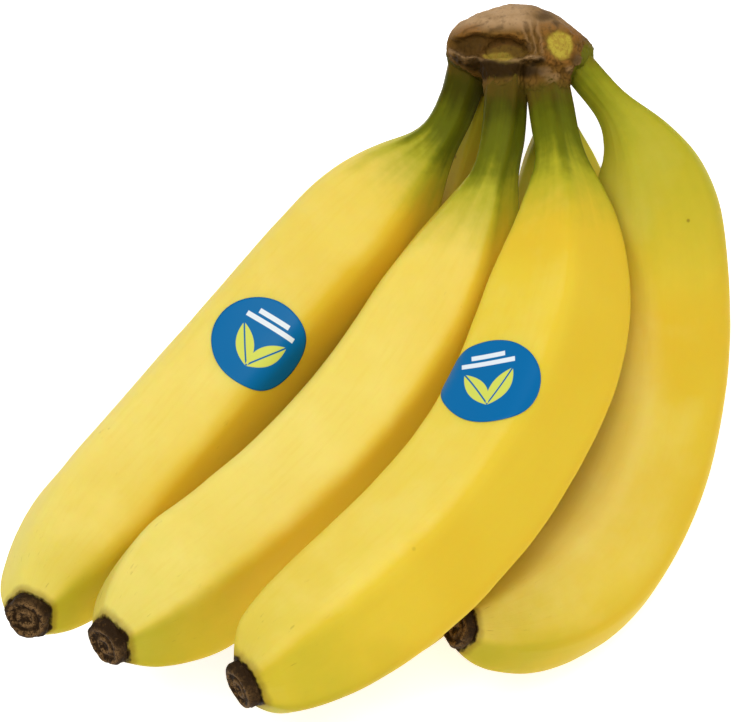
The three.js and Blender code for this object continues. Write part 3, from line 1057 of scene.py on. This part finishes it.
def crown_sleeve(fruit):
    """The crown's skin round the top of one stalk. Its edge dips into the stalk."""
    edge = max(fruit.skin, 1.0)
    rings = np.linspace(-SLEEVE_REACH, edge + SLEEVE_REACH, SLEEVE_STATIONS - 2)
    distance = np.concatenate([[rings[0] - CAP_GAP], rings, [rings[-1] + CAP_GAP]])
    spare = 1.5 - 1.2 * smooth_step((distance + SLEEVE_REACH) / (edge + SLEEVE_REACH))
    spare = spare - 0.9 * smooth_step((distance - edge) / 2.0)
    girth = girth_at(fruit, distance) + spare
    girth[[0, -1]] = 0.0
    piece = path_object(f"sleeve {fruit.name}", fruit, distance, girth)
    return grow(
        piece,
        {
            "Stations": SLEEVE_STATIONS,
            "Sides": SLEEVE_SIDES,
            **face_settings(fruit, SLEEVE_SOFTNESS),
            "Lump Height": 0.5 * MM,
            "Lump Size": 3 * MM,
            "Seed": 40.0 + float(fruit.name),
        },
    )


SMOOTHING_ROUNDS = 2


def remesh(piece, grain):
    """One even skin over whatever the piece is made of, slightly smoothed."""
    voxels = piece.modifiers.new("remesh", "REMESH")
    voxels.mode = "VOXEL"
    voxels.voxel_size = grain
    softer = piece.modifiers.new("smooth", "SMOOTH")
    softer.factor = 0.5
    softer.iterations = SMOOTHING_ROUNDS
    return settle(piece)


def oval(places, middle, reach, tilt=0.0):
    """How far out places lie in an oval as seen from the front: 1 is its rim."""
    tilt = math.radians(tilt)
    x = places[:, 0] - middle[0]
    y = places[:, 1] - middle[1]
    u = (x * math.cos(tilt) + y * math.sin(tilt)) / reach[0]
    v = (y * math.cos(tilt) - x * math.sin(tilt)) / reach[1]
    return np.hypot(u, v)


def near_line(places, line, width):
    """1 on a line of points as seen from the front, fading to 0 over about its width."""
    best = np.full(len(places), np.inf)
    flat = places[:, :2]
    for a, b in zip(np.array(line[:-1], float), np.array(line[1:], float)):
        t = np.clip((flat - a) @ (b - a) / ((b - a) @ (b - a)), 0, 1)
        best = np.minimum(best, np.linalg.norm(flat - a - t[:, None] * (b - a), axis=1))
    return np.exp(-((best / width) ** 2))


def ripple(places, scale, seed=0.0):
    """Noise from -1 to 1 at hanging places, with lumps of about 1 / scale millimetres."""
    shift = Vector((seed, -seed, 0.5 * seed))
    return np.array([noise.noise(Vector(p) * scale + shift) for p in places])


# Ovals on the crown as seen from the front: middle, half sizes and, for those that lean, tilt.
HOLLOW = ((32.6, 84.5), (10.8, 3.3), -6)
CUT = ((37.4, 84.0), (6.0, 3.2), -4)
FLESH = ((37.0, 82.6), (6.3, 2.7), -3)
FRESH = ((34.8, 82.2), (4.4, 1.2), -3)
LIP_BULGE = ((34.0, 81.8), (15.0, 6.0), -3)
UNDER_LIP = ((34.0, 78.7), (13.5, 2.7), -3)
SCAR = ((51.8, 85.1), (3.5, 3.9))
FLAKES = [
    ((47.6, 78.0), (2.0, 1.2)),
    ((49.8, 76.4), (1.8, 1.4)),
    ((54.6, 78.6), (1.6, 1.0)),
    ((44.0, 78.6), (1.6, 1.4)),
    ((57.2, 81.0), (1.4, 1.8)),
]
DARK_SPOTS = [((47.8, 93.2), (2.4, 1.3)), ((50.8, 91.2), (1.2, 1.0)), ((56.4, 81.6), (1.6, 1.4))]
# The first patch, on the upper left, is a painted highlight.
ORANGE_PATCHES = [
    ((27.6, 89.2), (3.2, 1.8)),
    ((36.6, 86.4), (4.6, 1.5)),
    ((48.6, 89.6), (3.0, 1.6)),
    ((55.6, 88.6), (2.8, 2.2)),
]

# Lines on it.
UNDER_EDGE = [(23.4, 82.0), (26.5, 79.4), (30.5, 77.6), (36.0, 76.6), (42.0, 77.8), (46.6, 80.8)]
LOWER_LIP = [(21.8, 84.6), (25.9, 82.0), (31.0, 81.1), (36.1, 80.8), (41.9, 81.1), (47.0, 81.4)]
UPPER_LIP = [(23.3, 87.8), (29.0, 88.2), (32.0, 87.6), (38.7, 87.3), (41.0, 86.0), (43.0, 82.6)]
CREASES = [
    [(31.2, 87.2), (33.2, 88.8), (36.0, 89.7)],
    [(26.0, 88.6), (28.6, 90.4), (31.0, 91.0)],
    [(42.6, 90.6), (43.4, 87.5), (44.2, 83.6)],
    [(45.4, 90.2), (45.8, 86.0), (45.8, 83.2)],
]
FOLDS = [
    [(41.2, 90.4), (42.6, 87.5), (43.4, 83.6)],
    [(43.6, 91.0), (44.6, 87.0), (44.8, 82.6)],
    [(46.0, 91.6), (46.6, 87.6), (46.8, 83.0)],
]

# What is raised, or cut where the height is below 0: height, oval and softness of its rim.
RAISED_OVALS = [
    (2.2, LIP_BULGE, 1.2),
    (-4.6, HOLLOW, 0.35),
    (-1.6, CUT, 0.35),
    (-4.5, UNDER_LIP, 0.45),
    (-0.9, SCAR, 0.35),
    *[(1.3, flake, 1.0) for flake in FLAKES],
]

# The same for lines: height, line and width.
RAISED_LINES = [
    (1.3, LOWER_LIP, 0.7),
    (0.9, UPPER_LIP, 0.7),
    *[(0.6, fold, 0.6) for fold in FOLDS],
    *[(-0.7, crease, 0.5) for crease in CREASES],
]
SCAR_RIM = 1.3  # where the ring round the scar is, as a share of the scar
STUB_MARGIN = 2.2  # how far round a stalk the crown takes up its green
STUB_TOP = -4  # a place further above the skin's edge than this isn't on a stalk
NO_STUB = -9.0  # for a place that isn't on a stalk


def inside_oval(places, shape, softness):
    """1 inside an oval, fading to 0 over a share of its reach at the rim."""
    return smooth_step((1 + 0.5 * softness - oval(places, *shape)) / softness)


def wander(places):
    """Hanging places moved a little aside, so that what is drawn on them is uneven."""
    moved = places.copy()
    moved[:, 0] += 0.9 * ripple(places, 0.22, 21.0) + 0.35 * ripple(places, 0.7, 25.0)
    moved[:, 1] += 0.7 * ripple(places, 0.22, 31.0) + 0.3 * ripple(places, 0.7, 35.0)
    return moved


def frontness(normals):
    """How far laid directions point out of the front row, from -1 to 1."""
    return (normals @ np.array(laid())[:3, :3])[:, 2]


def carve_crown(piece):
    """Cuts the hollow, the scar and the undercut in the front, and raises lips and folds."""
    carved = hang_places(mesh_places(piece.data))
    places = wander(carved)
    move = 0.7 * np.exp(-(((oval(places, *SCAR) - SCAR_RIM) / 0.22) ** 2))
    for height, shape, softness in RAISED_OVALS:
        move += height * inside_oval(places, shape, softness)
    for height, line, width in RAISED_LINES:
        move += height * near_line(places, line, width)
    front = smooth_step((frontness(mesh_normals(piece.data)) - 0.05) / 0.4)
    carved[:, 2] += move * front * smooth_step((places[:, 2] - 2) / 4)
    set_places(piece.data, lay_places(carved))


def stalk_tops(places):
    """How far places are down a stalk past the crown's skin, and how ripe that stalk is."""
    stub = np.full(len(places), NO_STUB)
    ripe = np.zeros(len(places))
    for fruit in FRUIT:
        from_root = places - np.array(fruit.root)
        along = from_root @ aim(*fruit.stalk)
        aside = np.linalg.norm(from_root - np.outer(along, aim(*fruit.stalk)), axis=1)
        beyond = along - fruit.skin
        nearest = (aside < fruit.stalk_girth + STUB_MARGIN) & (beyond > np.maximum(stub, STUB_TOP))
        stub = np.where(nearest, beyond, stub)
        ripe = np.where(nearest, max(4 * fruit.ripe, 0), ripe)
    return stub, ripe


def roughen_crown(piece):
    """Puts cork-like relief over the crown, and stores where its colours lie, painted shade and a
    painted highlight among them.
    """
    mesh = piece.data
    places = hang_places(mesh_places(mesh))
    normals = mesh_normals(mesh)
    marks = wander(places)
    coarse = ripple(places, 0.28, 3.0)
    medium = ripple(places, 0.6, 7.0)
    fine = ripple(places, 2.1, 11.0)
    upright = ripple(places * np.array([1.6, 0.35, 1.6]), 0.9, 17.0)
    low = smooth_step((90 - places[:, 1]) / 5)
    front = smooth_step((places[:, 2] - 3) / 3)
    # The flesh is mixed in thinly, which darkens it as painted shade inside the hollow.
    flesh = 0.32 * inside_oval(marks, FLESH, 0.3) + 0.24 * inside_oval(marks, FRESH, 0.6)
    flesh = np.maximum(flesh, inside_oval(marks, SCAR, 0.9)) * front
    crack = low * np.exp(-((medium / 0.09) ** 2)) * (1 - flesh)
    scar = oval(marks, *SCAR)
    ring = np.exp(-(((scar - SCAR_RIM) / 0.4) ** 2)) * front
    ring = ring * smooth_step(frontness(normals) / 0.5)
    from_scar = places[:, :2] - np.array(SCAR[0])
    turn = np.arctan2(from_scar[:, 1], from_scar[:, 0])
    round_scar = np.stack([3.5 * np.cos(turn), 3.5 * np.sin(turn), 0.15 * scar], axis=1)
    spokes = ripple(round_scar, 1.0, 51.0)
    relief = 0.35 * coarse + 0.2 * medium + 0.1 * fine + 0.3 * upright * low
    relief = (relief - 0.3 * crack) * (1 - 0.7 * flesh) + 0.45 * spokes * ring
    set_places(mesh, mesh_places(mesh) + normals * (relief * MM)[:, None])

    # The first orange patch is a painted highlight.
    orange = [0.7 * inside_oval(marks, patch, 1.2) * front for patch in ORANGE_PATCHES]
    orange.append(ring * (0.6 + 0.7 * spokes))
    dark = [0.4 * near_line(marks, crease, 0.45) * front for crease in CREASES]
    dark += [0.6 * inside_oval(marks, spot, 1.4) for spot in DARK_SPOTS]
    # Painted shade inside the hollow, and painted shadow under the lower lip and along its lower
    # edge.
    dark.append(0.6 * inside_oval(marks, HOLLOW, 0.4) * front * (1 - flesh))
    dark.append(0.9 * inside_oval(marks, UNDER_LIP, 0.6) * front)
    dark.append(0.85 * near_line(marks, UNDER_EDGE, 1.2) * front)
    dark.append(0.5 * crack)
    lips = [0.35 * near_line(marks, fold, 0.5) * front for fold in FOLDS]
    lips += [0.4 * inside_oval(marks, flake, 0.8) for flake in FLAKES]
    lips.append(0.7 * near_line(marks, LOWER_LIP, 0.6) * front)
    mauve = smooth_step((places[:, 1] - 87.5) / 4.5)
    stub, ripe = stalk_tops(places)
    store(mesh, "flesh", flesh)
    store(mesh, "dark", np.maximum.reduce(dark))
    store(mesh, "orange", np.maximum.reduce(orange))
    store(mesh, "lips", np.maximum.reduce(lips))
    store(mesh, "mauve", mauve * (1 - 0.6 * smooth_step((places[:, 0] - 40) / 6)))
    store(mesh, "stub", stub * MM)
    store(mesh, "ripe", ripe)


def crown_paint(colours):
    """Dried skin of the crown: bark brown to mauve, dark in its cracks, with some live flesh, painted
    shade in the hollow and under the lip, and a painted highlight on the upper left.
    """
    paint = Paint("crown skin")
    place = paint.place()
    cloud = paint.noise(place, 160.0, 3.0, 0.6, seed=1.0)
    grain = paint.noise(place, 700.0, 4.0, 0.6, seed=2.0)
    crumb = paint.noise(place, 2200.0, 3.0, 0.6, seed=3.0)
    flesh = paint.number("flesh")
    mauve = paint.times(paint.number("mauve"), paint.fade(cloud, 0.25, 0.6, 0.5, 1.0))
    skin = paint.blend(mauve, colours.bark, colours.mauve)
    skin = paint.blend(paint.fade(cloud, 0.5, 0.75, 0.0, 0.4), skin, colours.rust_and_highlight)
    warm = paint.times(paint.number("orange"), paint.fade(grain, 0.3, 0.6, 0.3, 0.85))
    skin = paint.blend(warm, skin, colours.rust_and_highlight)
    skin = paint.blend(paint.fade(grain, 0.5, 0.3, 0.0, 0.35), skin, colours.soot_and_shade)
    skin = paint.blend(paint.times(paint.number("lips"), 0.7), skin, colours.mauve)
    # dark holds the real dark spots and cracks, and the painted shade of the hollow and under the
    # lip.
    skin = paint.blend(paint.number("dark"), skin, colours.soot_and_shade)
    mottled = paint.blend(paint.fade(grain, 0.42, 0.62, 0.0, 0.45), colours.flesh, colours.rust_and_highlight)
    mottled = paint.blend(paint.fade(crumb, 0.56, 0.66, 0.0, 0.4), mottled, colours.bark)
    raw = paint.fade(paint.plus(flesh, paint.times(paint.minus(grain, 0.5), 1.2)), 0.0, 0.7)
    skin = paint.blend(paint.times(raw, paint.fade(flesh, 0.1, 0.9)), skin, mottled)
    edge = paint.plus(paint.number("stub"), paint.times(paint.minus(cloud, 0.5), 0.006))
    edge = paint.plus(edge, paint.times(paint.minus(grain, 0.5), 0.003))
    stalk = paint.blend(paint.number("ripe"), colours.dark_green, colours.green)
    stalk = paint.blend(0.18, stalk, colours.bark)
    skin = paint.blend(paint.fade(edge, -0.003, 0.0025), skin, stalk)
    height = paint.plus(paint.times(grain, 0.7), paint.times(crumb, 0.3))
    return paint.finish(
        Base_Color=skin,
        Roughness=paint.fade(grain, 0.3, 0.7, 0.55, 0.8),
        Normal=paint.bump(height, 0.0005, 0.5),
        Specular_IOR_Level=0.05,
    )


def build_crown(sizes, colours):
    piece = crown_body()
    remesh(piece, sizes.crown_grain)
    carve_crown(piece)
    sleeves = [crown_sleeve(fruit) for fruit in FRUIT]
    parts = [piece, *sleeves]
    with bpy.context.temp_override(active_object=piece, selected_editable_objects=parts):
        bpy.ops.object.join()
    remesh(piece, sizes.crown_grain)
    roughen_crown(piece)
    piece.data.materials.clear()
    piece.data.materials.append(crown_paint(colours))
    return piece


# Labels


def label_paint(colours):
    """Glossy paper: a pair of bars over two leaves on a blue ground."""
    paint = Paint("label paper")
    spot = paint.add("ShaderNodeUVMap", uv_map="label").outputs[0]
    centred = paint.vector("SUBTRACT", spot, (0.5, 0.5, 0.0)).outputs[0]

    def placed(x, y, turn):
        moved = paint.vector("SUBTRACT", centred, (x, y, 0.0)).outputs[0]
        inputs = {"Vector": moved, "Rotation": (0.0, 0.0, math.radians(turn))}
        return paint.split(paint.add("ShaderNodeMapping", inputs).outputs[0])

    def leaf(x, y, turn, width, reach):
        across, lengthwise, _ = placed(x, y, turn)
        share = paint.math("DIVIDE", lengthwise, reach)
        bow = paint.times(paint.minus(1.0, paint.times(share, share)), width)
        inside = paint.minus(bow, paint.math("ABSOLUTE", across))
        vein = paint.fade(paint.math("ABSOLUTE", across), 0.006, 0.012)
        return paint.times(paint.fade(inside, 0.0, 0.008), vein)

    def bar(y, width, reach):
        across, lengthwise, _ = placed(0.0, y, 0.0)
        beside = paint.fade(paint.math("ABSOLUTE", across), reach, reach + 0.008, 1.0, 0.0)
        above = paint.fade(paint.math("ABSOLUTE", lengthwise), width, width + 0.008, 1.0, 0.0)
        return paint.times(beside, above)

    left_leaf = leaf(-0.12, 0.09, 32.0, 0.1, 0.25)
    leaves = paint.math("MAXIMUM", left_leaf, leaf(0.12, 0.09, -32.0, 0.1, 0.25))
    face = paint.blend(leaves, colours.label, colours.label_leaf)
    bars = paint.math("MAXIMUM", bar(-0.22, 0.024, 0.27), bar(-0.31, 0.024, 0.17))
    face = paint.blend(bars, face, colours.label_bar)
    fibres = paint.noise(paint.place(), 3500.0, 2.0, 0.5)
    return paint.finish(
        Base_Color=face,
        Roughness=0.42,
        Normal=paint.bump(fibres, 0.0001, 0.1),
        Specular_IOR_Level=0.1,
    )


def on_peel(label, tree, share, turns, lift):
    """Ring of points a lift above the peel, at a share of the label's half sizes."""
    fruit = banana(label.on)
    distance = label.distance + share * label.along * np.cos(turns)
    angle = math.radians(label.angle) + share * label.around * np.sin(turns) / fruit.girth
    place, _, inner, aside = middle_line(fruit, distance)
    out = lay_directions(inner * np.cos(angle)[:, None] + aside * np.sin(angle)[:, None])
    ring = []
    for start, outwards in zip(lay_places(place), out):
        above = Vector(start + outwards * 2 * fruit.girth * MM)
        hit = tree.ray_cast(above, -Vector(outwards))[0]
        if hit is None:
            raise RuntimeError(f"label {label.on} misses its fruit")
        ring.append(hit + Vector(outwards) * lift)
    return ring


def stick_label(label, peel, sizes, finish):
    """A thin round sheet that follows the peel: its face from the middle out, then its back."""
    tree = BVHTree.FromPolygons(
        [vertex.co.copy() for vertex in peel.data.vertices],
        [polygon.vertices[:] for polygon in peel.data.polygons],
    )
    turns = np.linspace(0, TURN, LABEL_SIDES, endpoint=False)
    shares = np.linspace(0, 1, LABEL_RINGS + 1)[1:]
    top = sizes.label_lift + sizes.label_thickness
    layers = [(share, top) for share in shares]
    layers += [(share, sizes.label_lift) for share in shares[::-1]]
    rings = np.array([on_peel(label, tree, share, turns, lift) for share, lift in layers])
    points, faces = closed_rings(rings)
    spin = turns + math.radians(label.turn)
    around = np.stack([np.sin(spin), np.cos(spin)], axis=1)
    spots = [0.5 + 0.5 * share * around for share, _ in layers]
    spots = np.vstack([*spots, [[0.5, 0.5], [0.5, 0.5]]])
    mesh = bpy.data.meshes.new(f"sticker_{label.on}")
    mesh.from_pydata(points.tolist(), [], faces)
    layer = mesh.uv_layers.new(name="label")
    corners = [corner for face in faces for corner in face]
    layer.data.foreach_set("uv", spots[corners].astype(np.float32).ravel())
    mesh.materials.append(finish)
    smooth_shaded(mesh)
    return shown(mesh.name, mesh)


# Studio


FLOOR_REACH = 2.0  # metres to each side
FLOOR_CELLS = 4
FLOOR_TOOTH = srgb(225, 225, 225)
SKY_STRENGTH = 0.45

# Softboxes: name, place in the hanging frame, size and power in watts.
SOFTBOXES = [
    ("key softbox", (-490, 440, 950), 420, 3.2),
    ("front softbox", (0, 240, 1225), 380, 7.1),
]


def studio_floor(colours):
    """A pale floor with a hint of tooth. It glows, so that it stays white."""
    paint = Paint("studio floor")
    tooth = paint.fade(paint.noise(paint.place(), 300.0, 3.0), 0.3, 0.7, 0.0, 0.02)
    finish = paint.finish(
        Base_Color=paint.blend(tooth, colours.floor, FLOOR_TOOTH),
        Roughness=0.9,
        Specular_IOR_Level=0.0,
        Emission_Color=colours.floor,
        Emission_Strength=0.6,
    )
    row = FLOOR_CELLS + 1
    steps = np.linspace(-FLOOR_REACH, FLOOR_REACH, row)
    points = [(x, y, 0.0) for y in steps for x in steps]
    corners = [row * j + i for j in range(FLOOR_CELLS) for i in range(FLOOR_CELLS)]
    faces = [(i, i + 1, i + row + 1, i + row) for i in corners]
    mesh = bpy.data.meshes.new("studio_floor")
    mesh.from_pydata(points, [], faces)
    mesh.materials.append(finish)
    shown("studio_floor", mesh)


def hang_light(name, place, size, power):
    """A square softbox at a place of the hanging frame, aimed at the middle of the bunch."""
    data = bpy.data.lights.new(name, "AREA")
    data.shape = "SQUARE"
    data.size = size * MM
    data.energy = power
    light = shown(name, data)
    light.location = laid() @ (Vector(place) * MM)
    towards = laid().translation - light.location
    light.rotation_euler = towards.to_track_quat("-Z", "Y").to_euler()


def soft_world(strength):
    world = bpy.data.worlds.new("soft white room")
    world.use_nodes = True
    sky = world.node_tree.nodes["Background"]
    sky.inputs["Color"].default_value = (1.0, 1.0, 1.0, 1.0)
    sky.inputs["Strength"].default_value = strength
    bpy.context.scene.world = world


CAMERA_DISTANCE = 750  # from the hanging frame's origin
CAMERA_LENS = 134.02  # on a 36 mm sensor


def set_camera():
    """Looks square on at the front row."""
    data = bpy.data.cameras.new("camera")
    data.lens = CAMERA_LENS
    data.sensor_width = 36
    data.clip_start = 0.05
    data.clip_end = 20
    camera = shown("camera", data)
    camera.matrix_world = laid() @ Matrix.Translation((0, 0, CAMERA_DISTANCE * MM))
    bpy.context.scene.camera = camera


# Operators


class BUNCH_OT_studio(bpy.types.Operator):
    """Set up the camera, lights and floor"""

    bl_idname = "bunch.studio"
    bl_label = "Set up the studio"

    def execute(self, context):
        set_camera()
        studio_floor(context.scene.bunch_colours)
        for softbox in SOFTBOXES:
            hang_light(*softbox)
        soft_world(SKY_STRENGTH)
        context.scene.view_settings.view_transform = "Standard"
        return {"FINISHED"}


class BUNCH_OT_crown(bpy.types.Operator):
    """Build the crown with its hollow, scar and torn skin"""

    bl_idname = "bunch.crown"
    bl_label = "Build the crown"

    def execute(self, context):
        piece = build_crown(context.scene.bunch_sizes, context.scene.bunch_colours)
        hand_over(piece, "crown_skin", "crown")
        return {"FINISHED"}


class BUNCH_OT_fruit(bpy.types.Operator):
    """Grow the peel of the six fruit"""

    bl_idname = "bunch.fruit"
    bl_label = "Grow the fruit"

    def execute(self, context):
        for fruit in FRUIT:
            piece = grow_fruit(fruit, context.scene.bunch_sizes, context.scene.bunch_colours)
            hand_over(piece, "peel", f"banana_{fruit.name}")
        return {"FINISHED"}


class BUNCH_OT_tips(bpy.types.Operator):
    """Add the dry tips"""

    bl_idname = "bunch.tips"
    bl_label = "Add the dry tips"

    def execute(self, context):
        finish = tip_paint(context.scene.bunch_colours)
        for fruit in FRUIT:
            piece = dry_tip(fruit, finish)
            check_place(piece, f"tip_{fruit.name}")
            hand_over(piece, "dry_tip", f"tip_{fruit.name}")
        return {"FINISHED"}


class BUNCH_OT_labels(bpy.types.Operator):
    """Stick the labels on"""

    bl_idname = "bunch.labels"
    bl_label = "Stick the labels on"

    def execute(self, context):
        finish = label_paint(context.scene.bunch_colours)
        for label in LABELS:
            peel = bpy.data.objects[f"peel_{label.on}"]
            piece = stick_label(label, peel, context.scene.bunch_sizes, finish)
            hand_over(piece, "label_paper", f"label_{label.on}")
        return {"FINISHED"}


def check_place(piece, node):
    """Stops if a piece isn't where its solid is."""
    low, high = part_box(node)
    places = mesh_places(piece.data)
    middle = 0.5 * (places.min(axis=0) + places.max(axis=0))
    off = np.linalg.norm(middle - 0.5 * np.array(low + high)) / MM
    if off > OUT_OF_PLACE:
        raise RuntimeError(f"{piece.name} is {off:.1f} mm from {node}")


class VIEW3D_PT_bunch(bpy.types.Panel):
    """Lists the steps that make the bunch"""

    bl_label = "Bunch of bananas"
    bl_space_type = "VIEW_3D"
    bl_region_type = "UI"
    bl_category = "Bananas"

    def draw(self, context):
        for step in STEPS:
            self.layout.operator(step.bl_idname)
        for group in (context.scene.bunch_sizes, context.scene.bunch_colours):
            for name in group.__annotations__:
                self.layout.prop(group, name)


STEPS = [BUNCH_OT_studio, BUNCH_OT_crown, BUNCH_OT_fruit, BUNCH_OT_tips, BUNCH_OT_labels]
CLASSES = [BunchSizes, BunchColours, *STEPS, VIEW3D_PT_bunch]


def register():
    for item in CLASSES:
        bpy.utils.register_class(item)
    bpy.types.Scene.bunch_sizes = PointerProperty(type=BunchSizes)
    bpy.types.Scene.bunch_colours = PointerProperty(type=BunchColours)


def unregister():
    del bpy.types.Scene.bunch_colours
    del bpy.types.Scene.bunch_sizes
    for item in reversed(CLASSES):
        bpy.utils.unregister_class(item)


def main():
    register()
    bpy.ops.bunch.studio()
    bpy.ops.bunch.crown()
    bpy.ops.bunch.fruit()
    bpy.ops.bunch.tips()
    bpy.ops.bunch.labels()


if __name__ == "__main__":
    main()
